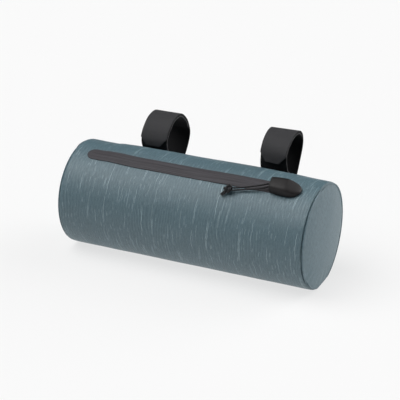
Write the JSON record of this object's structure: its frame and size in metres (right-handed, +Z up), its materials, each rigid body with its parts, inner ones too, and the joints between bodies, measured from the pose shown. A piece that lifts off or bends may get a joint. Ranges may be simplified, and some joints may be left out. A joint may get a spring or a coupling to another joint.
{
  "type": "bicycle handlebar bag",
  "caption": "Small round fabric bag with a covered zip, a moulded zip garage, a knotted pull cord and hook-and-loop straps that hold it under a handlebar.",
  "frame": {"origin": "middle of the flat patch on the bag's underside, on which it rests", "axes": "+X along the bag towards the end with the zip garage, -Y towards the front with the zip, +Z up"},
  "size_m": [0.2748, 0.1429, 0.1344],
  "materials": {
    "body_fabric": "coarse woven polyester with thin pale slubs, matt",
    "end_panel_fabric": "finely woven polyester, matt",
    "zip_tape_fabric": "coated zip tape, satin",
    "garage_rubber": "moulded soft rubber, satin",
    "slider_metal": "black lacquered zinc",
    "cord_braid": "thin waxed braid",
    "strap_fabric": "hook-and-loop webbing, smooth outside and black hooks inside",
    "keeper_fabric": "plain woven webbing"
  },
  "bodies": {
    "root": {"body_tube": "body_fabric", "end_cap_left": "end_panel_fabric", "end_cap_right": "end_panel_fabric", "zip_tape": "zip_tape_fabric", "zip_garage": "garage_rubber", "zip_slider": "slider_metal", "pull_cord_rear": "cord_braid", "pull_cord_front": "cord_braid", "pull_knot": "cord_braid", "strap_left": "strap_fabric", "strap_right": "strap_fabric", "keeper_left": "keeper_fabric", "keeper_right": "keeper_fabric"}
  },
  "joints": []
}
